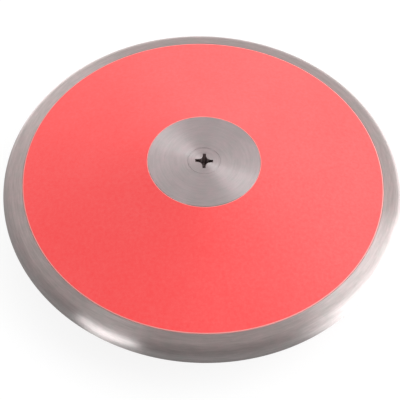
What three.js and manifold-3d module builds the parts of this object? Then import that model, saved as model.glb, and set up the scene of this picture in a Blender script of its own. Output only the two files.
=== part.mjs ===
// A 1 kg track and field discus: a turned steel rim, two ribbed plastic side plates and two steel
// centre plates. A pair of cross-recessed screws draws the centre plates together on a tapped core,
// and weight washers round the core bring the implement to its mass. Both faces are alike.
// Millimetres, +Z up. The origin is the centre of the discus, on its axis and its mid plane.
import * as THREE from "three";
import { mergeVertices } from "three/addons/utils/BufferGeometryUtils.js";
import Module from "manifold-3d";

// Outer form
const rimDiameter = 181;
const bodyThickness = 38;
const edgeArcRadius = 6;
const centerPlateDiameter = 50;
const rimLandWidth = 9;
const seamBreak = 0.2;

// Rim web, the flange inside the rim that the side plates close on
const webReach = 8;
const webEdgeBreak = 0.8;

// Side plates
const lipThickness = 3.3;
const wallThickness = 2.5;
const skirtThickness = 2.2;
const hubFloorThickness = 3;
const hubTubeWall = 3;
const ribThickness = 1.6;
const ribCount = 12;
const ringRibCount = 2;
const midPlaneGap = 0.3;
const pegDiameter = 4;
const pegEntry = 1.5;
const pegLeadIn = 0.5;
const pegCount = 6;

// Centre plates
const centerPlateEdge = 4;
const bossDiameter = 16;
const bossHeight = 5;
const bossEndBreak = 0.5;

// Core and weight washers
const coreEndGap = 0.2;
const coreEndBreak = 0.8;
const washerDiameter = 36;
const washerThickness = 2.6;
const washerCount = 3;

// Centre screws, M8 with a 90 degree countersunk head
const screwDiameter = 8;
const screwHeadDiameter = 14.5;
const screwHeadLand = 0.5;
const screwHeadSink = 0.1;
const screwEndBreak = 1;
const screwTipGap = 6;
const recessSpan = 7.9;
const recessWingWidth = 1.44;
const recessWaist = 0.73;
const recessDepth = 3.9;
const recessFloorShare = 0.4;

// Clearances between pieces, and the overrun of a cut past the face it opens
const seamClearance = 0.15;
const boreClearance = 0.2;
const pegClearance = 0.3;
const cutOverrun = 1;

// Facets round a full turn, along the rim's edge arc and along each curve of the cross recess
const bodyFacets = 48;
const washerFacets = 36;
const screwFacets = 32;
const pegFacets = 12;
const edgeArcFacets = 10;
const recessCurveFacets = 4;

const rimRadius = rimDiameter / 2;
const halfThickness = bodyThickness / 2;
const centerPlateRadius = centerPlateDiameter / 2;
const sidePlateRadius = rimRadius - rimLandWidth;
const bossRadius = bossDiameter / 2;
const washerRadius = washerDiameter / 2;
const pegRadius = pegDiameter / 2;
const screwRadius = screwDiameter / 2;
const screwHeadRadius = screwHeadDiameter / 2;

// Each face tapers in a straight line from the centre plate's edge to where the edge arc begins.
const arcCenterRadius = rimRadius - edgeArcRadius;
const taperRun = arcCenterRadius - centerPlateRadius;
const taperAngle =
  Math.atan2(halfThickness, taperRun) -
  Math.asin(edgeArcRadius / Math.hypot(taperRun, halfThickness));

function taperHeight(radius) {
  return halfThickness - (radius - centerPlateRadius) * Math.tan(taperAngle);
}

// Levels inside, measured up from the mid plane
const webHalfThickness = taperHeight(sidePlateRadius) - lipThickness;
const washerStackHalf = (washerCount * washerThickness) / 2;
const ribFootHeight = midPlaneGap / 2;
const seatHeight = halfThickness - centerPlateEdge;
const hubFloorHeight = seatHeight - hubFloorThickness;
const bossEndHeight = seatHeight - bossHeight;
const screwFaceHeight = halfThickness - screwHeadSink;
const screwConeTop = screwFaceHeight - screwHeadLand;

// Radii of the side plate, from its edge inwards
const webInnerRadius = sidePlateRadius - webReach;
const pegCircleRadius = sidePlateRadius - webReach / 2;
const lipEdgeRadius = sidePlateRadius - seamClearance;
const skirtOuterRadius = webInnerRadius - seamClearance;
const skirtInnerRadius = skirtOuterRadius - skirtThickness;
const recessRadius = centerPlateRadius + seamClearance;
const collarRadius = recessRadius + wallThickness;
const washerPocketRadius = washerRadius + boreClearance;
const hubBoreRadius = bossRadius + boreClearance;
const hubTubeRadius = hubBoreRadius + hubTubeWall;

// The ring ribs share the room between the collar and the skirt equally.
const ringRibPitch = (skirtInnerRadius - collarRadius + ribThickness) / (ringRibCount + 1);
const ribTurn = (2 * Math.PI) / ribCount;
const pegTurn = (2 * Math.PI) / pegCount;

// The inner face of the side plate's wall is parallel to the taper.
function wallInnerHeight(radius) {
  return taperHeight(radius) - wallThickness / Math.cos(taperAngle);
}

const wasm = await Module();
wasm.setup();

// A closed geometry as a solid that can be joined to and cut by another.
function toSolid(geometry) {
  const bare = geometry.clone();
  bare.deleteAttribute("normal");
  bare.deleteAttribute("uv");
  const merged = mergeVertices(bare);
  return new wasm.Manifold(
    new wasm.Mesh({
      numProp: 3,
      vertProperties: merged.attributes.position.array,
      triVerts: merged.index.array,
    }),
  );
}

function toGeometry(solid) {
  const mesh = solid.getMesh();
  const geometry = new THREE.BufferGeometry();
  geometry.setAttribute("position", new THREE.BufferAttribute(mesh.vertProperties, 3));
  geometry.setIndex(new THREE.BufferAttribute(mesh.triVerts, 1));
  geometry.computeVertexNormals();
  return geometry;
}

// A closed section of [radius, height] points, outer side upwards, turned about the Z axis.
function turned(section, facets) {
  const points = [...section, section[0]].map(([radius, height]) => new THREE.Vector2(radius, height));
  const lathe = new THREE.LatheGeometry(points, facets);
  lathe.rotateX(Math.PI / 2);
  return toSolid(lathe);
}

// The underside of a section whose top is given, so that the piece is alike above and below.
function mirrored(top) {
  return top.map(([radius, height]) => [radius, -height]).reverse();
}

// The same solid repeated at equal turns about the Z axis.
function around(solid, count, turn, firstAngle) {
  const copies = [];
  for (let i = 0; i < count; i += 1) {
    copies.push(solid.rotate([0, 0, THREE.MathUtils.radToDeg(firstAngle + i * turn)]));
  }
  return wasm.Manifold.union(copies);
}

// A round hole in the peg circle, as the solid that is cut away.
function pegHole(bottom, top) {
  const radius = pegRadius + pegClearance;
  const section = [
    [0, bottom],
    [radius, bottom],
    [radius, top],
    [0, top],
  ];
  return turned(section, pegFacets).translate([pegCircleRadius, 0, 0]);
}

// Turned and bored from one steel ring. Its web is drilled for the pegs of both side plates.
function rim() {
  const arcEnd = Math.PI / 2 - taperAngle;
  const arc = [];
  for (let i = 0; i <= edgeArcFacets; i += 1) {
    const angle = arcEnd * ((2 * i) / edgeArcFacets - 1);
    const radius = arcCenterRadius + edgeArcRadius * Math.cos(angle);
    arc.push([radius, edgeArcRadius * Math.sin(angle)]);
  }
  const face = [
    [sidePlateRadius + seamBreak, taperHeight(sidePlateRadius + seamBreak)],
    [sidePlateRadius, taperHeight(sidePlateRadius) - seamBreak],
    [sidePlateRadius, webHalfThickness],
    [webInnerRadius + webEdgeBreak, webHalfThickness],
    [webInnerRadius, webHalfThickness - webEdgeBreak],
  ];
  const ring = turned([...arc, ...face, ...mirrored(face)], bodyFacets);
  const holeEnd = webHalfThickness + cutOverrun;
  const holes = around(pegHole(-holeEnd, holeEnd), 2 * pegCount, pegTurn / 2, pegTurn / 4);
  return toGeometry(ring.subtract(holes));
}

// The side plate without its radial ribs. The lip lies on the rim's web, the skirt centres the
// plate in the web's bore, and the collar and hub floor form the seat of the centre plate.
function sidePlateShell() {
  const ringRibs = [];
  for (let number = 1; number <= ringRibCount; number += 1) {
    const outer = collarRadius + number * ringRibPitch;
    const inner = outer - ribThickness;
    ringRibs.push([inner, wallInnerHeight(inner)]);
    ringRibs.push([inner, ribFootHeight]);
    ringRibs.push([outer, ribFootHeight]);
    ringRibs.push([outer, wallInnerHeight(outer)]);
  }
  const inside = [
    [hubBoreRadius, washerStackHalf],
    [hubTubeRadius, washerStackHalf],
    [hubTubeRadius, hubFloorHeight],
    [collarRadius, hubFloorHeight],
    [collarRadius, wallInnerHeight(collarRadius)],
    ...ringRibs,
    [skirtInnerRadius, wallInnerHeight(skirtInnerRadius)],
    [skirtInnerRadius, ribFootHeight],
    [skirtOuterRadius, ribFootHeight],
    [skirtOuterRadius, webHalfThickness],
  ];
  const outside = [
    [lipEdgeRadius, webHalfThickness],
    [lipEdgeRadius, taperHeight(lipEdgeRadius) - seamBreak],
    [lipEdgeRadius - seamBreak, taperHeight(lipEdgeRadius - seamBreak)],
    [recessRadius + seamBreak, taperHeight(recessRadius + seamBreak)],
    [recessRadius, taperHeight(recessRadius) - seamBreak],
    [recessRadius, seatHeight],
    [hubBoreRadius, seatHeight],
  ];
  return turned([...inside, ...outside], bodyFacets);
}

// Straight ribs from the hub tube to the skirt, stepped up over the washers. Their ends and tops
// run into the middle of the walls that they join.
function radialRibs() {
  const start = hubTubeRadius - hubTubeWall / 2;
  const step = collarRadius - wallThickness / 2;
  const end = skirtInnerRadius + skirtThickness / 2;
  const room = turned(
    [
      [start, washerStackHalf],
      [washerPocketRadius, washerStackHalf],
      [washerPocketRadius, ribFootHeight],
      [end, ribFootHeight],
      [end, wallInnerHeight(end) + wallThickness / 2],
      [step, wallInnerHeight(step) + wallThickness / 2],
      [step, hubFloorHeight + hubFloorThickness / 2],
      [start, hubFloorHeight + hubFloorThickness / 2],
    ],
    bodyFacets,
  );
  const blank = toSolid(new THREE.BoxGeometry(rimRadius, ribThickness, bodyThickness));
  return around(blank.translate([rimRadius / 2, 0, 0]), ribCount, ribTurn, 0).intersect(room);
}

// A locating peg under the lip. It passes through the web into a socket of the other side plate.
function peg() {
  const end = -webHalfThickness - pegEntry;
  const root = webHalfThickness + lipThickness / 2;
  const section = [
    [0, end],
    [pegRadius - pegLeadIn, end],
    [pegRadius, end + pegLeadIn],
    [pegRadius, root],
    [0, root],
  ];
  return turned(section, pegFacets).translate([pegCircleRadius, 0, 0]);
}

// One moulding serves both faces: its sockets lie half-way between its pegs, so that turned over
// it meets its twin peg to socket.
function sidePlate() {
  const socket = pegHole(webHalfThickness - cutOverrun, webHalfThickness + pegEntry + pegClearance);
  const body = sidePlateShell()
    .add(radialRibs())
    .add(around(peg(), pegCount, pegTurn, pegTurn / 4));
  return toGeometry(body.subtract(around(socket, pegCount, pegTurn, -pegTurn / 4)));
}

// A flat disc let into the side plate, with a boss that passes down the side plate's hub.
function centerPlate() {
  const coneRadius = screwHeadRadius + boreClearance;
  const boreRadius = screwRadius + boreClearance;
  const section = [
    [boreRadius, bossEndHeight],
    [bossRadius - bossEndBreak, bossEndHeight],
    [bossRadius, bossEndHeight + bossEndBreak],
    [bossRadius, seatHeight],
    [centerPlateRadius, seatHeight],
    [centerPlateRadius, halfThickness - seamBreak],
    [centerPlateRadius - seamBreak, halfThickness],
    [coneRadius, halfThickness],
    [coneRadius, screwConeTop],
    [boreRadius, screwConeTop - (coneRadius - boreRadius)],
  ];
  return toGeometry(turned(section, bodyFacets));
}

// The outline of the cross recess at the screw's face: four wings with hollow sides between them.
function recessOutline() {
  const wing = recessSpan / 2;
  const side = recessWingWidth / 2;
  const outline = new THREE.Shape();
  outline.moveTo(wing, -side);
  outline.lineTo(wing, side);
  outline.quadraticCurveTo(recessWaist, recessWaist, side, wing);
  outline.lineTo(-side, wing);
  outline.quadraticCurveTo(-recessWaist, recessWaist, -wing, side);
  outline.lineTo(-wing, -side);
  outline.quadraticCurveTo(-recessWaist, -recessWaist, -side, -wing);
  outline.lineTo(side, -wing);
  outline.quadraticCurveTo(recessWaist, -recessWaist, wing, -side);
  return outline.getPoints(recessCurveFacets).slice(0, -1);
}

// The punch that strikes the cross recess. It narrows evenly towards the recess floor.
function recessPunch() {
  const ring = recessOutline();
  const topShare = 1 + ((1 - recessFloorShare) * cutOverrun) / recessDepth;
  const levels = [
    { height: screwFaceHeight - recessDepth, share: recessFloorShare },
    { height: screwFaceHeight + cutOverrun, share: topShare },
  ];
  const positions = levels.flatMap(({ height, share }) =>
    ring.flatMap((point) => [point.x * share, point.y * share, height]),
  );
  levels.forEach(({ height }) => positions.push(0, 0, height));
  const floorCenter = 2 * ring.length;
  const topCenter = floorCenter + 1;
  const index = [];
  for (let i = 0; i < ring.length; i += 1) {
    const next = (i + 1) % ring.length;
    const above = i + ring.length;
    const nextAbove = next + ring.length;
    index.push(i, next, nextAbove, i, nextAbove, above);
    index.push(floorCenter, next, i, topCenter, above, nextAbove);
  }
  const geometry = new THREE.BufferGeometry();
  geometry.setAttribute("position", new THREE.Float32BufferAttribute(positions, 3));
  geometry.setIndex(index);
  return toSolid(geometry);
}

// The head lies just under the centre plate's face, and the shank runs into the core.
function centerScrew() {
  const tip = screwTipGap / 2;
  const section = [
    [0, tip],
    [screwRadius - screwEndBreak, tip],
    [screwRadius, tip + screwEndBreak],
    [screwRadius, screwConeTop - (screwHeadRadius - screwRadius)],
    [screwHeadRadius, screwConeTop],
    [screwHeadRadius, screwFaceHeight],
    [0, screwFaceHeight],
  ];
  return toGeometry(turned(section, screwFacets).subtract(recessPunch()));
}

// A steel sleeve between the two bosses, with one bore right through for both screws.
function core() {
  const end = bossEndHeight - coreEndGap;
  const face = [
    [bossRadius, end - coreEndBreak],
    [bossRadius - coreEndBreak, end],
    [screwRadius + boreClearance, end],
  ];
  return toGeometry(turned([...face, ...mirrored(face)], screwFacets));
}

// The washers fill the space between the hubs of the two side plates.
function weightWasher() {
  const face = [
    [washerRadius, washerThickness / 2],
    [hubBoreRadius, washerThickness / 2],
  ];
  return toGeometry(turned([...face, ...mirrored(face)], washerFacets));
}

const turnedSteel = new THREE.MeshStandardMaterial({ color: 0xa8a2a0, roughness: 0.32, metalness: 1 });
const screwSteel = new THREE.MeshStandardMaterial({ color: 0xa39d9b, roughness: 0.35, metalness: 1 });
const coreSteel = new THREE.MeshStandardMaterial({ color: 0x8d8b8a, roughness: 0.45, metalness: 1 });
const washerSteel = new THREE.MeshStandardMaterial({ color: 0x9fa1a3, roughness: 0.4, metalness: 1 });
const redPlastic = new THREE.MeshStandardMaterial({ color: 0xfb5a5a, roughness: 0.45, metalness: 0 });

function piece(name, geometry, material) {
  const mesh = new THREE.Mesh(geometry, material);
  mesh.name = name;
  return mesh;
}

const discus = new THREE.Group();
discus.add(piece("rim", rim(), turnedSteel));

// Each face is the same set of pieces. The lower one is turned over about the X axis.
for (const side of ["upper", "lower"]) {
  const face = new THREE.Group();
  face.add(piece(`${side}_side_plate`, sidePlate(), redPlastic));
  face.add(piece(`${side}_center_plate`, centerPlate(), turnedSteel));
  face.add(piece(`${side}_center_screw`, centerScrew(), screwSteel));
  face.rotation.x = side === "lower" ? Math.PI : 0;
  discus.add(face);
}

discus.add(piece("threaded_core", core(), coreSteel));
for (let i = 0; i < washerCount; i += 1) {
  const washer = piece(`weight_washer_${i + 1}`, weightWasher(), washerSteel);
  washer.position.z = (i + 0.5) * washerThickness - washerStackHalf;
  discus.add(washer);
}

export default discus;
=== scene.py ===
# A 1 kg discus lying on a white studio floor, seen as in the photograph.
# Metres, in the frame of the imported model: the origin is the centre of the discus, +Z is its axis.
import math

import bmesh
import bpy
from mathutils import Matrix, Vector


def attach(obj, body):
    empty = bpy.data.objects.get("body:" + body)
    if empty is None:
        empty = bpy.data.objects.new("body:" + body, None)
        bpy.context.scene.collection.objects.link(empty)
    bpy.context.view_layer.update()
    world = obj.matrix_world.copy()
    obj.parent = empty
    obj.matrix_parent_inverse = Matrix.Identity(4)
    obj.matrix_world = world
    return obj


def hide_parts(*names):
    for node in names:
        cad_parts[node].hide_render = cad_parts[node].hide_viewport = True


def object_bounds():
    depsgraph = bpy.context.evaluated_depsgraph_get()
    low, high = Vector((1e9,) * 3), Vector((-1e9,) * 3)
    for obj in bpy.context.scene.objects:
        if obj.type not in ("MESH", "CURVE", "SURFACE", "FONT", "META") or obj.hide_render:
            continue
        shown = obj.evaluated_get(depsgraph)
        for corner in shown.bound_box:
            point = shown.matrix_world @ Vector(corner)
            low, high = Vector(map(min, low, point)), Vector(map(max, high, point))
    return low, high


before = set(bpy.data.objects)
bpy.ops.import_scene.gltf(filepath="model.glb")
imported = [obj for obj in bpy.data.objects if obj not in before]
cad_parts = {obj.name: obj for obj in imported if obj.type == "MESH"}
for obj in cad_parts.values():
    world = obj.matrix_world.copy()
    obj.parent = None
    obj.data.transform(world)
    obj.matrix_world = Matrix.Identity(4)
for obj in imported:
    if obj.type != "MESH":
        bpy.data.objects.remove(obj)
cad_box = [[float(value) for value in corner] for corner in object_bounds()]
mm = 0.001

# Camera
# The photograph is taken from the front and 54 degrees up, through a fairly long lens, with the
# camera rolled a little. The centre of the discus lies at a known pixel of the square picture.
picture_width = 400
focal_pixels = 1307.2
discus_center_pixel = (203.04, 186.06)
view_elevation = math.radians(54.129)
view_roll = math.radians(2.271)
view_distance = 596.1 * mm
sensor_width = 36


def add_object(name, data):
    """An object of the scene at the origin, with this mesh, lamp or camera."""
    thing = bpy.data.objects.new(name, data)
    bpy.context.scene.collection.objects.link(thing)
    return thing


camera_data = bpy.data.cameras.new("photograph view")
camera_data.sensor_width = sensor_width
camera_data.lens = sensor_width * focal_pixels / picture_width
camera = add_object("photograph view", camera_data)
view_tilt = Matrix.Rotation(math.pi / 2 - view_elevation, 3, "X")
view_turn = view_tilt @ Matrix.Rotation(view_roll, 3, "Z")
sight = Vector(
    (
        (discus_center_pixel[0] - picture_width / 2) / focal_pixels,
        (picture_width / 2 - discus_center_pixel[1]) / focal_pixels,
        -1,
    )
)
camera.location = -(view_turn @ sight) * view_distance
camera.rotation_euler = view_turn.to_euler()
bpy.context.scene.camera = camera

# Studio
# A white floor, a broad low window of light on the right, a small one on the front left with its
# sheen on the floor, and a room that is bright at the back right and dim at the front left, where
# the turned steel shows its darks. Azimuth 0 is the right of the picture.
bpy.context.scene.view_settings.view_transform = "Standard"
floor_height = cad_box[0][2]
floor_reach = 3.0
floor_albedo = 0.15
floor_white = 0.88
bright_side = math.radians(49)
bright_side_edge = (-0.28, 0.10)
floor_shine_range = (0.42, 3.0)
shaded_floor = (92 * mm, 120 * mm)
floor_shade = 0.5
window_sheen = 1.9
window_sheen_side = math.radians(-122.5)
window_sheen_edge = (math.cos(math.radians(12)), math.cos(math.radians(6)))
fill_lean = (0.499, 0.862, -0.09)
fill_edge = (-0.743, 1.507)
fill_range = (0.03, 3.25)
room_side = math.radians(68)
room_shine = ((0, 0.09), (0.08, 0.26), (0.25, 0.36), (0.5, 0.595), (0.7, 0.91), (1, 1.27))
room_tint = (1.0, 0.90, 0.89)
window_tint = (0.97, 1.0, 1.0)
window_distance = 1.2
column_width = 180
row_height = 160


def feed(node, inputs):
    """Each input is given a value, or linked to an output or to the first one in use of a node."""
    for socket, source in inputs.items():
        if isinstance(source, bpy.types.Node):
            source = next(output for output in source.outputs if output.enabled)
        if isinstance(source, bpy.types.NodeSocket):
            node.id_data.links.new(source, node.inputs[socket])
        else:
            node.inputs[socket].default_value = source


def add_node(tree, kind, place, label=None, inputs=None, **settings):
    """A shader or geometry node at a place, counted in columns and rows, with its inputs set."""
    node = tree.nodes.new(kind)
    node.location = (place[0] * column_width, -place[1] * row_height)
    node.label = label or ""
    for name, value in settings.items():
        setattr(node, name, value)
    feed(node, inputs or {})
    return node


def calculate(tree, operation, place, label, *terms, kind="ShaderNodeMath", **settings):
    """A node that works out one number from its terms, each a value, a node or an output."""
    inputs = dict(enumerate(terms))
    return add_node(tree, kind, place, label, inputs, operation=operation, **settings)


def calculate_vector(tree, operation, place, label, *terms):
    """A node that works out one vector, or a measure of it, from its terms."""
    return calculate(tree, operation, place, label, *terms, kind="ShaderNodeVectorMath")


def remap(tree, place, label, value, given, wanted=(0, 1), **settings):
    """A node that spreads a value from its given range over the wanted one, and no further."""
    inputs = {"Value": value, "From Min": given[0], "From Max": given[1]}
    inputs.update({"To Min": wanted[0], "To Max": wanted[1]})
    return add_node(tree, "ShaderNodeMapRange", place, label, inputs, **settings)


def toward(azimuth, elevation=0):
    """The direction at an azimuth, which is 0 at the right of the picture, and an elevation."""
    level = math.cos(elevation)
    return Vector((level * math.cos(azimuth), level * math.sin(azimuth), math.sin(elevation)))


def blend(tree, place, label, share, first, second, data_type="FLOAT"):
    """A node that goes from a first value, colour or vector to a second one by a share."""
    inputs = {"Factor": share, "A": first, "B": second}
    return add_node(tree, "ShaderNodeMix", place, label, inputs, data_type=data_type)


def light_rays(tree, place):
    """The light path, and a share that is 1 for what a shiny surface sees of the studio."""
    rays = add_node(tree, "ShaderNodeLightPath", place)
    mirrored_ray = calculate(
        tree,
        "MAXIMUM",
        (-4, place[1]),
        "in a shiny surface",
        rays.outputs["Is Glossy Ray"],
        rays.outputs["Is Transmission Ray"],
    )
    return rays, mirrored_ray


def set_ramp(node, stops):
    """The stops of a colour ramp, each a share and a colour. A new ramp has two to start with."""
    stages = node.color_ramp.elements
    for number, (share, color) in enumerate(stops):
        stage = stages[number] if number < 2 else stages.new(share)
        stage.position = share
        stage.color = (*color, 1)


floor_mesh = bpy.data.meshes.new("studio_floor")
floor_mesh.from_pydata(
    [
        (x * floor_reach, y * floor_reach, floor_height)
        for x, y in ((-1, -1), (1, -1), (1, 1), (-1, 1))
    ],
    [],
    [(0, 1, 2, 3)],
)
studio_floor = add_object("studio_floor", floor_mesh)

floor_paint = bpy.data.materials.new("white floor")
floor_paint.use_nodes = True
tree = floor_paint.node_tree
tree.nodes.clear()
matt = add_node(tree, "ShaderNodeBsdfDiffuse", (0, 0), "matt", {
    "Color": (floor_albedo, floor_albedo, floor_albedo, 1),
})
rays, mirrored_ray = light_rays(tree, (-5, 1))
to_camera = calculate(
    tree, "MULTIPLY", (-3, 0), "white to the camera", rays.outputs["Is Camera Ray"], floor_white
)
spot = add_node(tree, "ShaderNodeTexCoord", (-8, 2))
outward = calculate_vector(tree, "NORMALIZE", (-7, 2), "outward", spot.outputs["Object"])
lit_side = calculate_vector(tree, "DOT_PRODUCT", (-6, 2), "lit side", outward, toward(bright_side))
pool = remap(
    tree,
    (-5, 2),
    "pool of light",
    lit_side,
    bright_side_edge,
    floor_shine_range,
    interpolation_type="SMOOTHSTEP",
)
beside = calculate_vector(tree, "LENGTH", (-7, 3), "from the axis", spot.outputs["Object"])
shade = remap(
    tree,
    (-5, 4),
    "shade beside it",
    beside,
    shaded_floor,
    (floor_shade, 1),
    interpolation_type="SMOOTHSTEP",
)
shaded_pool = calculate(tree, "MULTIPLY", (-4, 3), "shaded pool", pool, shade)
sheen_side = calculate_vector(
    tree, "DOT_PRODUCT", (-6, 5), "window side", outward, toward(window_sheen_side)
)
sheen = remap(
    tree,
    (-5, 5),
    "sheen of the window",
    sheen_side,
    window_sheen_edge,
    (0, window_sheen),
    interpolation_type="SMOOTHSTEP",
)
with_sheen = calculate(tree, "ADD", (-4, 4), "pool and sheen", shaded_pool, sheen)
in_steel = calculate(tree, "MULTIPLY", (-3, 1), "white in steel", mirrored_ray, with_sheen)
seen_glow = calculate(tree, "ADD", (-2, 1), "glow", to_camera, in_steel)
glow = add_node(tree, "ShaderNodeEmission", (0, 1), "glow", {"Strength": seen_glow})
both = add_node(tree, "ShaderNodeAddShader", (1, 0), "both", {0: matt, 1: glow})
add_node(tree, "ShaderNodeOutputMaterial", (2, 0), "output", {"Surface": both})
floor_mesh.materials.append(floor_paint)

# The world is white to the camera. Elsewhere it fades from bright at the back to dim at the front,
# by one measure for the plain fill light and by another, a little warm, in the shine of the steel.
world = bpy.data.worlds.new("studio")
bpy.context.scene.world = world
world.use_nodes = True
tree = world.node_tree
tree.nodes.clear()
direction = add_node(tree, "ShaderNodeTexCoord", (-6, 0))
room_lean = calculate_vector(
    tree, "DOT_PRODUCT", (-5, 0), "room lean", direction.outputs["Generated"], fill_lean
)
fill = remap(
    tree,
    (-4, 0),
    "fill light",
    room_lean,
    fill_edge,
    fill_range,
    interpolation_type="SMOOTHSTEP",
)
shine_lean = calculate_vector(
    tree, "DOT_PRODUCT", (-5, 2), "room side", direction.outputs["Generated"], toward(room_side)
)
shine_share = remap(tree, (-4, 2), "front to back", shine_lean, (-1, 1))
shine = add_node(tree, "ShaderNodeValToRGB", (-3, 2), "room in the steel", {"Fac": shine_share})
set_ramp(shine, [(share, (level, level, level)) for share, level in room_shine])
rays, mirrored_ray = light_rays(tree, (-6, 4))
around_light = blend(tree, (-2, 1), "around light", mirrored_ray, fill, shine)
seen_light = blend(
    tree, (-1, 1), "seen light", rays.outputs["Is Camera Ray"], around_light, 1.0
)
warmth = blend(
    tree, (-1, 3), "warm in the steel", mirrored_ray, (1, 1, 1, 1), (*room_tint, 1), "RGBA"
)
background = add_node(tree, "ShaderNodeBackground", (0, 1), "background", {
    "Strength": seen_light,
    "Color": warmth,
})
add_node(tree, "ShaderNodeOutputWorld", (1, 1), "output", {"Surface": background})


def light_window(name, azimuth, elevation, width, height, power):
    """A soft rectangular lamp that faces the discus."""
    lamp = bpy.data.lights.new(name, "AREA")
    lamp.shape = "RECTANGLE"
    lamp.size = width
    lamp.size_y = height
    lamp.energy = power
    lamp.color = window_tint
    window = add_object(name, lamp)
    outward = toward(math.radians(azimuth), math.radians(elevation))
    window.location = outward * window_distance
    window.rotation_euler = outward.to_track_quat("Z", "Y").to_euler()


light_window("right window", azimuth=0, elevation=29, width=1.08, height=1.2, power=9.0)
light_window("front left window", azimuth=-130, elevation=8.5, width=0.58, height=0.5, power=4.0)

# Rim
# One ring of steel, turned on a lathe: a round edge of 6 mm radius, a straight taper up to the
# seam on each face, and a web inside that the side plates close on. The web is drilled for pegs.
rim_radius = 90.5 * mm
half_thickness = 19 * mm
edge_radius = 6 * mm
plate_radius = 25 * mm
seam_radius = 81.5 * mm
lip_thickness = 3.3 * mm
web_reach = 8 * mm
seam_fillet = 0.12 * mm
web_fillet = 0.8 * mm
peg_count = 6
peg_hole_radius = 2.3 * mm
corner_steps = 4
flat_guard = 0.12 * mm

taper_run = rim_radius - edge_radius - plate_radius
taper_angle = math.atan2(half_thickness, taper_run) - math.asin(
    edge_radius / math.hypot(taper_run, half_thickness)
)


def taper_height(radius):
    """Height of the straight taper above the mid plane."""
    return half_thickness - (radius - plate_radius) * math.tan(taper_angle)


web_height = taper_height(seam_radius) - lip_thickness
web_bore = seam_radius - web_reach


def rounded(corners):
    """A section with its corners rounded. Each corner is (radius, height, fillet). Points just
    outside each fillet keep the flats beside it flat when they are shaded."""
    points = []
    count = len(corners)
    for i in range(count):
        here = Vector(corners[i][:2])
        fillet = corners[i][2]
        before = Vector(corners[i - 1][:2]) - here
        after = Vector(corners[(i + 1) % count][:2]) - here
        if fillet == 0:
            points.append(here)
            continue
        opening = before.angle(after)
        setback = fillet / math.tan(opening / 2)
        start = here + before.normalized() * setback
        end = here + after.normalized() * setback
        middle = (before.normalized() + after.normalized()).normalized()
        center = here + middle * (fillet / math.sin(opening / 2))
        if before.length > setback + 3 * flat_guard:
            points.append(start + before.normalized() * flat_guard)
        for step in range(corner_steps + 1):
            share = step / corner_steps
            spoke = (start - center).lerp(end - center, share).normalized() * fillet
            points.append(center + spoke)
        if after.length > setback + 3 * flat_guard:
            points.append(end + after.normalized() * flat_guard)
    return points


def mirrored(top):
    """The same corners or points under the mid plane, in the order that closes the section."""
    return [(corner[0], -corner[1], *corner[2:]) for corner in reversed(top)]


def open_tree(name, kinds, result):
    """A geometry tree with an input of each named kind, and the node that gives them."""
    tree = bpy.data.node_groups.new(name, "GeometryNodeTree")
    for label, kind in kinds.items():
        tree.interface.new_socket(label, in_out="INPUT", socket_type=f"NodeSocket{kind}")
    tree.interface.new_socket(result, in_out="OUTPUT", socket_type="NodeSocketGeometry")
    return tree, add_node(tree, "NodeGroupInput", (0, 0))


def close_tree(tree, given, shape, column, result):
    """The shape made real, with its material, as the tree's result."""
    realize = add_node(tree, "GeometryNodeRealizeInstances", (column, 1), "realize", {
        "Geometry": shape,
    })
    finish = add_node(tree, "GeometryNodeSetMaterial", (column + 1, 1), "finish", {
        "Geometry": realize,
        "Material": given.outputs["Finish"],
    })
    add_node(tree, "NodeGroupOutput", (column + 2, 1), "result", {result: finish})


def ring_of(tree, given, tool, place):
    """Copies of a tool shape at equal turns about the Z axis, as one plain mesh."""
    column, line = place
    shape = add_node(tree, "GeometryNodeObjectInfo", (column, line), "shape", {
        "Object": given.outputs[tool],
    }, transform_space="ORIGINAL")
    points = add_node(tree, "GeometryNodePoints", (column, line + 2), "points", {
        "Count": given.outputs[f"{tool} Count"],
    })
    index = add_node(tree, "GeometryNodeInputIndex", (column, line + 3))
    share = calculate(
        tree, "DIVIDE", (column + 1, line + 3), "share", index, given.outputs[f"{tool} Count"]
    )
    angle = calculate(
        tree,
        "MULTIPLY_ADD",
        (column + 2, line + 3),
        "angle",
        share,
        2 * math.pi,
        given.outputs[f"{tool} First Angle"],
    )
    spin = add_node(tree, "ShaderNodeCombineXYZ", (column + 3, line + 3), "turn", {"Z": angle})
    copies = add_node(tree, "GeometryNodeInstanceOnPoints", (column + 4, line + 1), "copies", {
        "Points": points,
        "Instance": shape.outputs["Geometry"],
        "Rotation": spin,
    })
    realize = add_node(tree, "GeometryNodeRealizeInstances", (column + 5, line + 1), "realize", {
        "Geometry": copies,
    })
    return realize.outputs["Geometry"]


def folded_grid(tree, given):
    """A grid with one row for each point of the section. Returns the grid's node, the point of the
    section for each of its vertices, and how far along its columns the vertex is, from 0 to 1."""
    columns = calculate(tree, "ADD", (1, 1), "columns", given.outputs["Facets"], 1)
    rows = calculate(tree, "ADD", (1, 2), "rows", given.outputs["Section Points"], 1)
    grid = add_node(tree, "GeometryNodeMeshGrid", (2, 1), "grid", {
        "Vertices X": rows,
        "Vertices Y": columns,
    })
    index = add_node(tree, "GeometryNodeInputIndex", (2, 3))
    row = calculate(tree, "DIVIDE", (3, 3), "row over columns", index, columns)
    row_floor = calculate(tree, "FLOOR", (4, 3), "row", row)
    column = calculate(tree, "MODULO", (4, 4), "column", index, columns)
    section_row = calculate(
        tree, "MODULO", (5, 3), "point", row_floor, given.outputs["Section Points"]
    )
    position = add_node(tree, "GeometryNodeInputPosition", (5, 2))
    sample = add_node(tree, "GeometryNodeSampleIndex", (6, 2), "sample", {
        "Geometry": given.outputs["Section"],
        "Value": position,
        "Index": section_row,
    }, data_type="FLOAT_VECTOR")
    along = calculate(tree, "DIVIDE", (5, 4), "along the columns", column, given.outputs["Facets"])
    return grid, sample.outputs["Value"], along.outputs[0]


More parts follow.
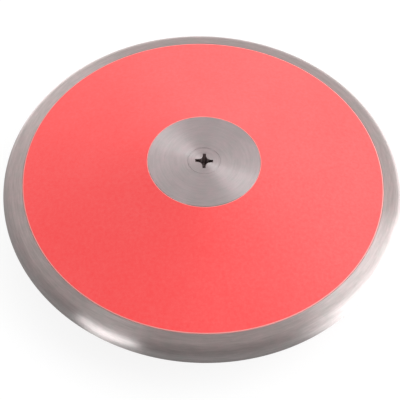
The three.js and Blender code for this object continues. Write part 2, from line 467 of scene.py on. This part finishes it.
def lathe_tree(name, joined, cut):
    """Geometry nodes for a turned piece. A grid is folded round the Z axis and its seam is welded.
    Rings of the joined tool shapes are added to it, and rings of the cut ones are taken away."""
    kinds = {
        "Section": "Geometry",
        "Section Points": "Int",
        "Facets": "Int",
        "Smooth Below": "Float",
        "Weld Distance": "Float",
        "Finish": "Material",
    }
    for tool in (*joined, *cut):
        kinds.update({tool: "Object", f"{tool} Count": "Int", f"{tool} First Angle": "Float"})
    tree, given = open_tree(name, kinds, "Turned")
    grid, point, along = folded_grid(tree, given)
    angle = calculate(tree, "MULTIPLY", (6, 4), "angle", along, 2 * math.pi)
    spin = add_node(tree, "ShaderNodeVectorRotate", (7, 3), "spin", {
        "Vector": point,
        "Angle": angle,
    }, rotation_type="Z_AXIS")
    fold = add_node(tree, "GeometryNodeSetPosition", (8, 1), "fold", {
        "Geometry": grid.outputs["Mesh"],
        "Position": spin,
    })
    weld = add_node(tree, "GeometryNodeMergeByDistance", (9, 1), "weld", {
        "Geometry": fold,
        "Distance": given.outputs["Weld Distance"],
    })
    shape = weld.outputs["Geometry"]
    for number, tool in enumerate((*joined, *cut)):
        ring = ring_of(tree, given, tool, (0, 6 + 5 * number))
        kind = "UNION" if tool in joined else "DIFFERENCE"
        made = add_node(
            tree, "GeometryNodeMeshBoolean", (10 + number, 1), operation=kind, solver="MANIFOLD"
        )
        tree.links.new(shape, made.inputs[1 if kind == "UNION" else 0])
        tree.links.new(ring, made.inputs[1])
        shape = made.outputs["Mesh"]
    corner = add_node(tree, "GeometryNodeInputMeshEdgeAngle", (13, 3))
    sharp = add_node(tree, "FunctionNodeCompare", (14, 3), "sharp", {
        "A": corner,
        "B": given.outputs["Smooth Below"],
    }, data_type="FLOAT", operation="GREATER_THAN")
    smooth_faces = add_node(tree, "GeometryNodeSetShadeSmooth", (14, 1), "smooth faces", {
        "Geometry": shape,
        "Shade Smooth": True,
    }, domain="FACE")
    sharp_edges = add_node(tree, "GeometryNodeSetShadeSmooth", (15, 1), "sharp edges", {
        "Geometry": smooth_faces,
        "Shade Smooth": False,
        "Selection": sharp,
    }, domain="EDGE")
    close_tree(tree, given, sharp_edges, 16, "Turned")
    return tree


sharp_corner = math.radians(32)
weld_distance = 0.0005 * mm


def run_tree(name, mesh, tree, values):
    """A plain mesh object made by running a geometry tree with these inputs on a mesh."""
    blank = add_object(f"{name}_blank", mesh)
    modifier = blank.modifiers.new("make", "NODES")
    modifier.node_group = tree
    for item in tree.interface.items_tree:
        if item.item_type == "SOCKET" and item.in_out == "INPUT" and item.name in values:
            modifier[item.identifier] = values[item.name]
    evaluated = blank.evaluated_get(bpy.context.evaluated_depsgraph_get())
    made = bpy.data.meshes.new_from_object(evaluated)
    made.name = name
    made.materials.clear()
    made.materials.append(values["Finish"])
    piece = add_object(name, made)
    bpy.data.objects.remove(blank)
    return piece


def section_mesh(name, section):
    """The points of a closed section as a loop of edges in the XZ plane."""
    mesh = bpy.data.meshes.new(f"{name}_section")
    count = len(section)
    corners = [(point[0], 0, point[1]) for point in section]
    mesh.from_pydata(corners, [(i, (i + 1) % count) for i in range(count)], [])
    return mesh


def turned(name, section, facets, finish, joined=None, cut=None):
    """A piece turned from a closed section: along its top outwards, down, and back underneath.
    Each joined or cut tool is given as (object, count, first angle), and is used up."""
    joined = joined or {}
    cut = cut or {}
    tree = lathe_tree(f"{name} tree", tuple(joined), tuple(cut))
    values = {
        "Section Points": len(section),
        "Facets": facets,
        "Smooth Below": sharp_corner,
        "Weld Distance": weld_distance,
        "Finish": finish,
    }
    tools = {**joined, **cut}
    for word, (tool, tool_count, first_angle) in tools.items():
        values[word] = tool
        values[f"{word} Count"] = tool_count
        values[f"{word} First Angle"] = first_angle
    piece = run_tree(name, section_mesh(name, section), tree, values)
    for tool in {tool.name: tool for tool, *_ in tools.values()}.values():
        bpy.data.objects.remove(tool)
    return piece


noise_span = (0.3, 0.7)
cool_tint = (0.93, 0.98, 0.965, 1)
warm_tint = (1.07, 1.01, 1.025, 1)


def new_surface(name):
    """A new material, its node tree and its main shader."""
    surface = bpy.data.materials.new(name)
    surface.use_nodes = True
    tree = surface.node_tree
    return surface, tree, tree.nodes["Principled BSDF"]


def own_place(tree, skin):
    """Where each point is on its piece: the place, its parts, the part off the Z axis, the radius.
    They stand at the left of the shader."""
    skin.location = (3 * column_width, 0)
    tree.nodes["Material Output"].location = (5 * column_width, 0)
    place = add_node(tree, "ShaderNodeTexCoord", (-8, 0)).outputs["Object"]
    parts = add_node(tree, "ShaderNodeSeparateXYZ", (-7, 0), "parts", {0: place})
    flat = add_node(tree, "ShaderNodeCombineXYZ", (-6, 0), "off the axis", {
        "X": parts.outputs["X"],
        "Y": parts.outputs["Y"],
    })
    radius = calculate_vector(tree, "LENGTH", (-5, 0), "radius", flat)
    return place, parts, flat, radius


def noise(tree, place, label, spot, scale, detail, roughness=0.5, drift=None):
    """Noise over a place. With a drift, it also changes slowly as the drift does."""
    inputs = {"Vector": spot, "Scale": scale, "Detail": detail, "Roughness": roughness}
    if drift is None:
        return add_node(tree, "ShaderNodeTexNoise", place, label, inputs)
    inputs["W"] = drift
    return add_node(tree, "ShaderNodeTexNoise", place, label, inputs, noise_dimensions="4D")


def bump(tree, place, label, height, depth):
    """A fine relief of this depth that follows a height."""
    inputs = {"Height": height, "Strength": 1.0, "Distance": depth}
    return add_node(tree, "ShaderNodeBump", place, label, inputs)


def turned_steel(name, color, roughness, spread, mark_height, mark_tint):
    """Bare steel with fine tool marks round the Z axis. The marks follow radius and height, so
    they run round the piece everywhere, and the shine is stretched across them."""
    steel, tree, skin = new_surface(name)
    place, parts, flat, radius = own_place(tree, skin)

    # The direction round the axis, for the stretched shine
    round_axis = calculate_vector(tree, "CROSS_PRODUCT", (-5, 1), "round axis", (0, 0, 1), flat)
    tangent = add_node(tree, "ShaderNodeVectorTransform", (-4, 1), "tangent", {
        0: round_axis,
    }, vector_type="VECTOR", convert_from="OBJECT", convert_to="WORLD")
    unit = calculate_vector(tree, "NORMALIZE", (-3, 1), "unit", tangent)

    # Tool marks: noise over radius and height, which changes slowly round the piece
    drift = add_node(tree, "ShaderNodeVectorMath", (-6, 2), "slow drift", {
        "Scale": 0.08,
        0: flat,
    }, operation="SCALE")
    drift_parts = add_node(tree, "ShaderNodeSeparateXYZ", (-5, 2), "drift parts", {0: drift})
    ring = add_node(tree, "ShaderNodeCombineXYZ", (-4, 0), "radius, height", {
        "X": radius,
        "Y": parts.outputs["Z"],
        "Z": drift_parts.outputs["X"],
    })
    change = drift_parts.outputs["Y"]
    fine = noise(tree, (-2, 2), "fine marks", ring, 1700, 4, roughness=0.6, drift=change)
    broad = noise(tree, (-2, 3), "broad marks", ring, 520, 4, roughness=0.65, drift=change)
    marks = blend(tree, (-1, 2), "marks", 0.4, fine, broad)
    groove = bump(tree, (1, 2), "groove", marks, mark_height)

    # Colour: the marks tint the steel a little, and it clouds slowly from cool to warm
    tint = remap(tree, (0, 0), "mark tint", marks, noise_span, (0.98 - mark_tint, 0.98 + mark_tint))
    shade = add_node(tree, "ShaderNodeVectorMath", (1, 0), "steel color", {
        0: color,
        "Scale": tint,
    }, operation="SCALE")
    cloud = noise(tree, (-1, -2), "cloud", place, 240, 5, roughness=0.7)
    cloud_share = remap(tree, (0, -2), "cool to warm", cloud, noise_span)
    cloud_tint = blend(tree, (1, -2), "cloud tint", cloud_share, cool_tint, warm_tint, "RGBA")
    clouded = calculate_vector(tree, "MULTIPLY", (2, 0), "clouded", shade, cloud_tint)

    # Roughness: a little duller where the broad marks are coarse
    polish = remap(
        tree, (0, 1), "mark polish", broad, noise_span, (roughness - 0.03, roughness + 0.03)
    )
    feed(skin, {
        "Metallic": 1.0,
        "Anisotropic": spread,
        "Anisotropic Rotation": 0.25,
        "Tangent": unit,
        "Base Color": clouded,
        "Roughness": polish,
        "Normal": groove,
    })
    return steel


def height_off_middle(tree):
    """How far each point is above or below the mid plane."""
    place = add_node(tree, "ShaderNodeTexCoord", (-3, -4))
    parts = add_node(tree, "ShaderNodeSeparateXYZ", (-2, -4), "parts", {0: place.outputs["Object"]})
    return calculate(tree, "ABSOLUTE", (-1, -4), "height", parts.outputs["Z"])


edge_finish = 0.84
edge_finish_band = (0.77 * edge_radius, 0.84 * edge_radius)


def rim_finish():
    """The rim's steel. Its round edge is finished finer than its tapered faces."""
    steel = turned_steel(
        "turned rim steel",
        color=(0.50, 0.46, 0.455),
        roughness=0.41,
        spread=0.99,
        mark_height=0.012 * mm,
        mark_tint=0.19,
    )
    tree = steel.node_tree
    skin = tree.nodes["Principled BSDF"]
    dullness = skin.inputs["Roughness"].links[0].from_socket
    height = height_off_middle(tree)
    edge = remap(tree, (0, -4), "edge to face", height, edge_finish_band, (edge_finish, 1))
    finer = calculate(tree, "MULTIPLY", (1, -4), "finer edge", dullness, edge)
    feed(skin, {"Roughness": finer})
    return steel


rim_steel = rim_finish()

edge_steps = 48
edge_turn = math.pi / 2 - taper_angle
edge_arc = []
for step in range(edge_steps + 1):
    tilt = edge_turn * (1 - 2 * step / edge_steps)
    edge_arc.append(
        (
            rim_radius - edge_radius + edge_radius * math.cos(tilt),
            edge_radius * math.sin(tilt),
        )
    )
taper_end = (
    edge_arc[0][0] - flat_guard * math.cos(taper_angle),
    edge_arc[0][1] + flat_guard * math.sin(taper_angle),
)
rim_face = [
    (web_bore, web_height, web_fillet),
    (seam_radius, web_height, 0),
    (seam_radius, taper_height(seam_radius), seam_fillet),
    (*taper_end, 0),
]
rim_arc = [(radius, height, 0) for radius, height in edge_arc]
rim_section = rounded([*rim_face, *rim_arc, *mirrored(rim_face)])
peg_circle = seam_radius - web_reach / 2
peg_facets = 24
large_facets = 360
tool_overshoot = 1 * mm


def peg_tool(name, radius, bottom, top, lead_in, finish):
    """A round bar on the peg circle, with its lower end chamfered."""
    side = [(radius, top), (radius, bottom + lead_in), (radius - lead_in, bottom)]
    tool = turned(name, [(0, top), *side, (0, bottom)], peg_facets, finish)
    tool.data.transform(Matrix.Translation((peg_circle, 0, 0)))
    return tool


drill_reach = web_height + tool_overshoot
drill = peg_tool("web_drill", peg_hole_radius, -drill_reach, drill_reach, 0, rim_steel)
drilled = {"Drill": (drill, 2 * peg_count, math.pi / (2 * peg_count))}
rim_piece = turned("turned_rim", rim_section, large_facets, rim_steel, cut=drilled)
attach(rim_piece, "root")
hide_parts("rim")

# Side plates
# Two like mouldings of red plastic. The cone is 2.5 mm thick, with its outer lip on the rim's web
# and its inner lip round the centre plate. Both lips are trimmed after moulding. A narrow paler
# line is painted along them, partly whitened plastic and partly a painted highlight on their edges.
plate_seam = 0.03 * mm
outer_trim_radius = 0.45 * mm
inner_trim_radius = 0.25 * mm
# Widths of the painted pale line along the outer and inner lips: whitened plastic and painted
# highlight.
outer_pale_highlight_band = 0.5 * mm
inner_pale_highlight_band = 0.35 * mm
lip_depth = 3 * inner_pale_highlight_band
wall_thickness = 2.5 * mm
plastic_red = (0.98, 0.060, 0.061)
# Colour of the painted pale line along the lips: partly whitened plastic, partly a painted
# highlight.
pale_lip_highlight_pink = (0.86, 0.34, 0.32)


def satin_plastic():
    """Moulded red plastic: a fine grain, a faint mottle, and a paler line painted along both lips,
    partly whitened plastic and partly a painted highlight on their rounded edges.
    """
    plastic, tree, skin = new_surface("satin red plastic")
    place, parts, flat, radius = own_place(tree, skin)
    outer_pale_highlight = remap(
        tree,
        (-4, 0),
        "outer trim",
        radius,
        (seam_radius - 1.2 * outer_pale_highlight_band, seam_radius - outer_pale_highlight_band),
    )
    inner_pale_highlight = remap(
        tree,
        (-4, 1),
        "inner trim",
        radius,
        (plate_radius + 1.2 * inner_pale_highlight_band, plate_radius + inner_pale_highlight_band),
    )
    height = calculate(tree, "ABSOLUTE", (-6, 1), "height", parts.outputs["Z"])
    lip_foot = taper_height(plate_radius) - lip_depth
    at_lip = remap(
        tree, (-5, 1), "at the inner lip", height, (lip_foot, lip_foot + inner_pale_highlight_band)
    )
    lip_pale_highlight = calculate(tree, "MULTIPLY", (-3, 1), "lip trim", inner_pale_highlight, at_lip)
    pale_highlight = calculate(tree, "MAXIMUM", (-2, 0), "pale_highlight", outer_pale_highlight, lip_pale_highlight)
    mottle = noise(tree, (-4, 2), "mottle", place, 650, 5, roughness=0.7)
    tone = remap(tree, (-3, 2), "mottle tone", mottle, noise_span, (0.70, 1.30))
    patches = noise(tree, (-4, 3), "broad patches", place, 48, 3)
    patch_tone = remap(tree, (-3, 3), "patch tone", patches, noise_span, (0.93, 1.07))
    full_tone = calculate(tree, "MULTIPLY", (-3, 4), "full tone", tone, patch_tone)
    body_color = calculate_vector(
        tree,
        "MULTIPLY_ADD",
        (-2, 2),
        "red",
        full_tone,
        (0, *plastic_red[1:]),
        (plastic_red[0], 0, 0),
    )
    # The line along the lips is painted paler: partly whitened plastic, partly a painted highlight
    # on the edges.
    color = blend(tree, (0, 0), "color", pale_highlight, body_color, (*pale_lip_highlight_pink, 1), "RGBA")
    grain = noise(tree, (-2, 4), "moulded grain", place, 2600, 3)
    feed(skin, {
        "Specular IOR Level": 0.71,
        "Base Color": color,
        "Normal": bump(tree, (1, 3), "relief", grain, 0.012 * mm),
        "Roughness": remap(tree, (0, 2), "satin", mottle, (0, 1), (0.46, 0.54)),
    })
    return plastic


red_plastic = satin_plastic()


def wall_inner_height(radius):
    """Height of the inner face of the side plate's wall, parallel to the taper."""
    return taper_height(radius) - wall_thickness / math.cos(taper_angle)


def turned_over(piece, name):
    """The same piece for the lower face, turned half-way round the X axis."""
    mesh = piece.data.copy()
    mesh.name = name
    mesh.transform(Matrix.Rotation(math.pi, 4, "X"))
    return add_object(name, mesh)


def join_rings(shape, first, second):
    """Faces all round between two rings with as many corners."""
    for i in range(len(first)):
        following = (i + 1) % len(first)
        shape.faces.new((first[i], first[following], second[following], second[i]))


def solid_object(name, shape):
    """The finished shape as an object, with its faces turned outwards."""
    bmesh.ops.recalc_face_normals(shape, faces=shape.faces)
    mesh = bpy.data.meshes.new(name)
    shape.to_mesh(mesh)
    shape.free()
    return add_object(name, mesh)


def upright_plate(name, outline, thickness):
    """A flat plate that stands along the X axis: its outline of (radius, height) points is given
    thickness to both sides."""
    shape = bmesh.new()
    near, far = (
        [shape.verts.new((radius, offset, height)) for radius, height in outline]
        for offset in (-thickness / 2, thickness / 2)
    )
    shape.faces.new(near)
    shape.faces.new(far)
    join_rings(shape, near, far)
    return solid_object(name, shape)


seat_height = 15 * mm
hub_floor = 3 * mm
hub_floor_height = seat_height - hub_floor
hub_bore = 8.2 * mm
hub_tube = 11.2 * mm
washer_stack_half = 3.9 * mm
washer_pocket = 18.2 * mm
rib_foot = 0.15 * mm
rib_thickness = 1.6 * mm
rib_bite = 1.5 * mm
rib_count = 12
ring_rib_count = 2
fit_play = 0.15 * mm
skirt_radius = web_bore - fit_play
skirt_thickness = 2.2 * mm
skirt_inner = skirt_radius - skirt_thickness
lip_edge = seam_radius - plate_seam
recess_edge = plate_radius + plate_seam
collar_radius = plate_radius + fit_play + wall_thickness
peg_radius = 2 * mm
peg_entry = 1.5 * mm
peg_room = 0.3 * mm
peg_lead_in = 0.5 * mm
foot_fillet = 0.3 * mm
hub_fillet = 0.5 * mm
wall_fillet = 0.6 * mm
rib_fillet = 0.4 * mm
rib_foot_fillet = 0.2 * mm

ring_rib_pitch = (skirt_inner - collar_radius + rib_thickness) / (ring_rib_count + 1)
ring_ribs = []
for number in range(ring_rib_count, 0, -1):
    ring_outer = collar_radius + number * ring_rib_pitch
    ring_inner = ring_outer - rib_thickness
    ring_ribs.append((ring_outer, wall_inner_height(ring_outer), rib_fillet))
    ring_ribs.append((ring_outer, rib_foot, rib_foot_fillet))
    ring_ribs.append((ring_inner, rib_foot, rib_foot_fillet))
    ring_ribs.append((ring_inner, wall_inner_height(ring_inner), rib_fillet))
plate_section = rounded(
    [
        (hub_bore, seat_height, foot_fillet),
        (recess_edge, seat_height, 0),
        (recess_edge, taper_height(recess_edge), inner_trim_radius),
        (lip_edge, taper_height(lip_edge), outer_trim_radius),
        (lip_edge, web_height, 0),
        (skirt_radius, web_height, 0),
        (skirt_radius, rib_foot, foot_fillet),
        (skirt_inner, rib_foot, foot_fillet),
        (skirt_inner, wall_inner_height(skirt_inner), wall_fillet),
        *ring_ribs,
        (collar_radius, wall_inner_height(collar_radius), wall_fillet),
        (collar_radius, hub_floor_height, hub_fillet),
        (hub_tube, hub_floor_height, hub_fillet),
        (hub_tube, washer_stack_half, foot_fillet),
        (hub_bore, washer_stack_half, foot_fillet),
    ]
)

# The ribs and pegs run into the middle of the walls that they join.
rib_start = hub_tube - rib_bite
rib_step = collar_radius - wall_thickness / 2
rib_end = skirt_inner + skirt_thickness / 2
rib = upright_plate(
    "plate_rib",
    [
        (rib_start, washer_stack_half),
        (washer_pocket, washer_stack_half),
        (washer_pocket, rib_foot),
        (rib_end, rib_foot),
        (rib_end, wall_inner_height(rib_end) + wall_thickness / 2),
        (rib_step, wall_inner_height(rib_step) + wall_thickness / 2),
        (rib_step, hub_floor_height + hub_floor / 2),
        (rib_start, hub_floor_height + hub_floor / 2),
    ],
    rib_thickness,
)
peg = peg_tool(
    "plate_peg",
    peg_radius,
    -web_height - peg_entry,
    web_height + lip_thickness / 2,
    peg_lead_in,
    red_plastic,
)
socket = peg_tool(
    "plate_socket",
    peg_radius + peg_room,
    web_height - tool_overshoot,
    web_height + peg_entry + peg_room,
    0,
    red_plastic,
)
quarter_pitch = math.pi / (2 * peg_count)
upper_plate = turned(
    "upper_moulded_plate",
    plate_section,
    large_facets,
    red_plastic,
    joined={"Rib": (rib, rib_count, 0), "Peg": (peg, peg_count, quarter_pitch)},
    cut={"Socket": (socket, peg_count, -quarter_pitch)},
)
lower_plate = turned_over(upper_plate, "lower_moulded_plate")
for side, side_plate in (("upper", upper_plate), ("lower", lower_plate)):
    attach(side_plate, "root")
    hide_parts(f"{side}_side_plate")

# Centre plates
# Two discs of steel, faced on the lathe, let into the side plates and countersunk for the screw.
# A boss under each passes down the side plate's hub to the core.
faced_steel = {
    "color": (0.497, 0.466, 0.474),
    "roughness": 0.413,
    "spread": 0.90,
    "mark_height": 0.006 * mm,
    "mark_tint": 0.11,
}
center_plate_steel = turned_steel("faced plate steel", **faced_steel)
center_plate_facets = 256
plate_edge_break = 0.12 * mm
plate_foot_break = 0.2 * mm
countersink_break = 0.06 * mm
countersink_land = 0.6 * mm
screw_head_radius = 7.25 * mm
screw_ring_gap = 0.05 * mm
boss_radius = 8 * mm
boss_end_height = 10 * mm
boss_break = 0.5 * mm
bolt_bore_break = 0.3 * mm
countersink_radius = screw_head_radius + screw_ring_gap
countersink_top = half_thickness - countersink_land
bolt_bore = 4.2 * mm
center_plate_section = rounded(
    [
        (countersink_radius, half_thickness, countersink_break),
        (plate_radius, half_thickness, plate_edge_break),
        (plate_radius, seat_height, plate_foot_break),
        (boss_radius, seat_height, 0),
        (boss_radius, boss_end_height, boss_break),
        (bolt_bore, boss_end_height, bolt_bore_break),
        (bolt_bore, countersink_top - (countersink_radius - bolt_bore), 0),
        (countersink_radius, countersink_top, 0),
    ]
)
upper_disc = turned(
    "upper_faced_plate", center_plate_section, center_plate_facets, center_plate_steel
)
lower_disc = turned_over(upper_disc, "lower_faced_plate")
for side, center_plate in (("upper", upper_disc), ("lower", lower_disc)):
    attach(center_plate, "root")
    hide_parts(f"{side}_center_plate")

# Centre screws
# M8 countersunk screws with a struck cross recess. Each head is faced off bright with its centre
# plate, and its recess, cone and thread keep their black finish. The thread is rolled.
black_finish = (0.21, 0.165, 0.165)
faced_depth = (0.10 * mm, 0.02 * mm)
face_height = half_thickness - 0.05 * mm
cone_top = countersink_top
cone_land_fillet = 0.1 * mm
neck_fillet = 0.2 * mm
neck_step = 0.5 * mm
screw_facets = 128
screw_radius = 3.98 * mm
thread_pitch = 1.25 * mm
thread_core_radius = 3.35 * mm
thread_crest_radius = 3.94 * mm
thread_sink = 0.1 * mm
thread_foot = 0.55 * mm
thread_crest = 0.08 * mm
thread_relief = 0.7 * mm
facets_per_turn = 40
thread_top = 13.6 * mm
screw_tip = 3 * mm
tip_chamfer = 0.6 * mm
recess_span = 7.9 * mm
recess_wing = 1.44 * mm
recess_waist = 0.35 * mm
recess_depth = 3.9 * mm
recess_point = 0.3 * mm
recess_steps = 8
recess_floor_share = 0.4
recess_flare = 0.10 * mm


def recess_outline(share, offset):
    """The four-winged outline of the recess, narrowed by a share and widened by an offset."""
    wing = recess_span / 2 * share + offset
    side = recess_wing / 2 * share + offset
    waist = recess_waist * share + offset
    outline = []
    for quarter in range(4):
        turn = Matrix.Rotation(quarter * math.pi / 2, 2)
        for step in range(recess_steps + 1):
            t = step / recess_steps
            along = (1 - t) ** 2 * wing + 2 * t * (1 - t) * waist + t**2 * side
            across = (1 - t) ** 2 * side + 2 * t * (1 - t) * waist + t**2 * wing
            outline.append(turn @ Vector((along, across)))
    return outline


def recess_punch(name):
    """The punch that strikes the recess. It narrows evenly to a blunt point and flares above."""
    shape = bmesh.new()
    levels = [
        (face_height - recess_depth, recess_outline(recess_floor_share, 0)),
        (face_height - recess_flare, recess_outline(1, 0)),
        (face_height, recess_outline(1, recess_flare)),
        (face_height + tool_overshoot, recess_outline(1, recess_flare)),
    ]
    rings = [[shape.verts.new((*point, height)) for point in ring] for height, ring in levels]
    for lower_ring, upper_ring in zip(rings, rings[1:]):
        join_rings(shape, lower_ring, upper_ring)
    ends = (
        (rings[0], face_height - recess_depth - recess_point),
        (rings[-1], face_height + tool_overshoot),
    )
    for ring, height in ends:
        middle = shape.verts.new((0, 0, height))
        for i in range(len(ring)):
            shape.faces.new((ring[i], ring[(i + 1) % len(ring)], middle))
    return solid_object(name, shape)


def thread_tree():
    """Geometry nodes for a thread: a grid wound up a helix about the Z axis. At both ends its
    section shrinks to a point over half a turn, as a thread runs out."""
    kinds = {
        "Section": "Geometry",
        "Section Points": "Int",
        "Facets": "Int",
        "Turns": "Float",
        "Pitch": "Float",
        "Start Height": "Float",
        "Start Angle": "Float",
        "Root Radius": "Float",
        "Weld Distance": "Float",
        "Finish": "Material",
    }
    tree, given = open_tree("thread", kinds, "Ridge")
    grid, point, along = folded_grid(tree, given)
    turns = calculate(tree, "MULTIPLY", (6, 4), "turns wound", along, given.outputs["Turns"])
    left = calculate(tree, "SUBTRACT", (7, 5), "turns left", given.outputs["Turns"], turns)
    nearest = calculate(tree, "MINIMUM", (8, 5), "to the nearer end", turns, left)
    full = calculate(tree, "MULTIPLY", (9, 5), "fullness", nearest, 2.0, use_clamp=True)
    root = add_node(tree, "ShaderNodeCombineXYZ", (8, 6), "root", {
        "X": given.outputs["Root Radius"],
    })
    grown = blend(tree, (10, 3), "section", full, root, point, "VECTOR")
    angle = calculate(
        tree, "MULTIPLY_ADD", (7, 4), "angle", turns, 2 * math.pi, given.outputs["Start Angle"]
    )
    spin = add_node(tree, "ShaderNodeVectorRotate", (11, 3), "spin", {
        "Vector": grown,
        "Angle": angle,
    }, rotation_type="Z_AXIS")
    rise = calculate(
        tree,
        "MULTIPLY_ADD",
        (8, 4),
        "rise",
        turns,
        given.outputs["Pitch"],
        given.outputs["Start Height"],
    )
    lift = add_node(tree, "ShaderNodeCombineXYZ", (9, 4), "lift", {"Z": rise})
    wind = add_node(tree, "GeometryNodeSetPosition", (12, 1), "wind", {
        "Geometry": grid.outputs["Mesh"],
        "Position": spin,
        "Offset": lift,
    })
    weld = add_node(tree, "GeometryNodeMergeByDistance", (13, 1), "weld", {
        "Geometry": wind,
        "Distance": given.outputs["Weld Distance"],
    })
    close_tree(tree, given, weld, 14, "Ridge")
    return tree


thread = thread_tree()


def thread_ridge(name, section, root_radius, start, end, finish):
    """A right-hand thread between two heights. Every thread of the pitch meets the X axis at the
    mid plane, so the screws and the core's thread fit into each other."""
    values = {
        "Section Points": len(section),
        "Facets": round((end - start) / thread_pitch * facets_per_turn),
        "Turns": (end - start) / thread_pitch,
        "Pitch": thread_pitch,
        "Start Height": start,
        "Start Angle": 2 * math.pi * start / thread_pitch,
        "Root Radius": root_radius,
        "Weld Distance": weld_distance,
        "Finish": finish,
    }
    return run_tree(name, section_mesh(name, section), thread, values)


def faced_screw_steel():
    """The screw's steel: bright where its head is faced, and black everywhere under the face."""
    steel = turned_steel("faced screw steel", **faced_steel)
    tree = steel.node_tree
    skin = tree.nodes["Principled BSDF"]
    bright = skin.inputs["Base Color"].links[0].from_socket
    height = height_off_middle(tree)
    faced_band = [face_height - depth for depth in faced_depth]
    faced = remap(tree, (0, -4), "faced", height, faced_band)
    color = blend(tree, (1, -4), "screw color", faced, (*black_finish, 1), bright, "RGBA")
    feed(skin, {"Base Color": color})
    return steel


screw_steel = faced_screw_steel()
screw_section = rounded(
    [
        (0, face_height, 0),
        (screw_head_radius, face_height, countersink_break),
        (screw_head_radius, cone_top, cone_land_fillet),
        (screw_radius, cone_top - (screw_head_radius - screw_radius), neck_fillet),
        (screw_radius, thread_top, neck_fillet),
        (thread_core_radius, thread_top - neck_step, 0),
        (thread_core_radius, screw_tip + tip_chamfer, 0),
        (thread_core_radius - tip_chamfer, screw_tip, 0),
        (0, screw_tip, 0),
    ]
)
screw_thread = thread_ridge(
    "screw_thread",
    [
        (thread_core_radius - thread_sink, thread_foot),
        (thread_crest_radius, thread_crest),
        (thread_crest_radius, -thread_crest),
        (thread_core_radius - thread_sink, -thread_foot),
    ],
    thread_core_radius - 2 * thread_sink,
    screw_tip + thread_relief,
    thread_top - thread_relief,
    screw_steel,
)
upper_screw = turned(
    "upper_flush_screw",
    screw_section,
    screw_facets,
    screw_steel,
    joined={"Thread": (screw_thread, 1, 0)},
    cut={"Recess": (recess_punch("recess_punch"), 1, 0)},
)
lower_screw = turned_over(upper_screw, "lower_flush_screw")
for side, screw in (("upper", upper_screw), ("lower", lower_screw)):
    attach(screw, "root")
    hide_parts(f"{side}_center_screw")

# Threaded core
# A steel sleeve between the bosses of the two centre plates, tapped right through. Both screws run
# into it, and it ends just short of the bosses, so the screws draw the plates tight.
core_radius = 8 * mm
core_end = 9.8 * mm
tap_radius = 3.42 * mm
core_facets = 96
core_chamfer = 0.8 * mm
core_face = [
    (tap_radius + core_chamfer, core_end, 0),
    (core_radius - core_chamfer, core_end, 0),
    (core_radius, core_end - core_chamfer, 0),
]
tapped_wall = [
    (tap_radius, core_chamfer - core_end, 0),
    (tap_radius, core_end - core_chamfer, 0),
]
core_section = rounded([*core_face, *mirrored(core_face), *tapped_wall])
core_steel = turned_steel(
    "plain core steel",
    color=(0.30, 0.29, 0.28),
    roughness=0.42,
    spread=0.7,
    mark_height=0.006 * mm,
    mark_tint=0.08,
)
tap_crest_radius = 4.05 * mm
tap_sink = 0.2 * mm
tap_foot = 0.6 * mm
tap_crest = 0.13 * mm
tap_reach = 9 * thread_pitch
tap = thread_ridge(
    "core_tap",
    [
        (tap_radius - tap_sink, tap_foot),
        (tap_crest_radius, tap_crest),
        (tap_crest_radius, -tap_crest),
        (tap_radius - tap_sink, -tap_foot),
    ],
    tap_radius - 1.5 * tap_sink,
    -tap_reach,
    tap_reach,
    core_steel,
)
core = turned("tapped_core", core_section, core_facets, core_steel, cut={"Tap": (tap, 1, 0)})
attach(core, "root")
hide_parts("threaded_core")

# Weight washers
# Three steel washers round the core bring the discus to its mass. They are stamped, with the edge
# rolled over on the upper side, and zinc plated.
washer_outer = 18 * mm
washer_thickness = 2.6 * mm
washer_count = 3
washer_facets = 128
bore_roll = 0.25 * mm
edge_roll = 0.45 * mm
sheared_break = 0.08 * mm
zinc_tones = ((0.35, (0.33, 0.35, 0.37)), (0.68, (0.42, 0.41, 0.38)))


def zinc_plate():
    """Dull zinc plating: a fine grain and a slow change of tone from cool to faintly warm."""
    zinc, tree, skin = new_surface("dull zinc plate")
    place = add_node(tree, "ShaderNodeTexCoord", (-5, 0)).outputs["Object"]
    cloud = noise(tree, (-4, 0), "cloud", place, 160, 4)
    tone = add_node(tree, "ShaderNodeValToRGB", (-3, 0), "zinc tones", {"Fac": cloud})
    set_ramp(tone, zinc_tones)
    grain = noise(tree, (-4, 2), "grain", place, 4200, 2)
    feed(skin, {
        "Metallic": 1.0,
        "Base Color": tone,
        "Normal": bump(tree, (-2, 2), "relief", grain, 0.004 * mm),
        "Roughness": remap(tree, (-3, 1), "dull", cloud, (0, 1), (0.36, 0.50)),
    })
    return zinc


washer_zinc = zinc_plate()
washer_section = rounded(
    [
        (hub_bore, washer_thickness / 2, bore_roll),
        (washer_outer, washer_thickness / 2, edge_roll),
        (washer_outer, -washer_thickness / 2, sheared_break),
        (hub_bore, -washer_thickness / 2, sheared_break),
    ]
)
for number in range(washer_count):
    washer = turned(f"stamped_washer_{number + 1}", washer_section, washer_facets, washer_zinc)
    level = (number + 0.5) * washer_thickness - washer_stack_half
    washer.data.transform(Matrix.Translation((0, 0, level)))
    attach(washer, "root")
    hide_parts(f"weight_washer_{number + 1}")
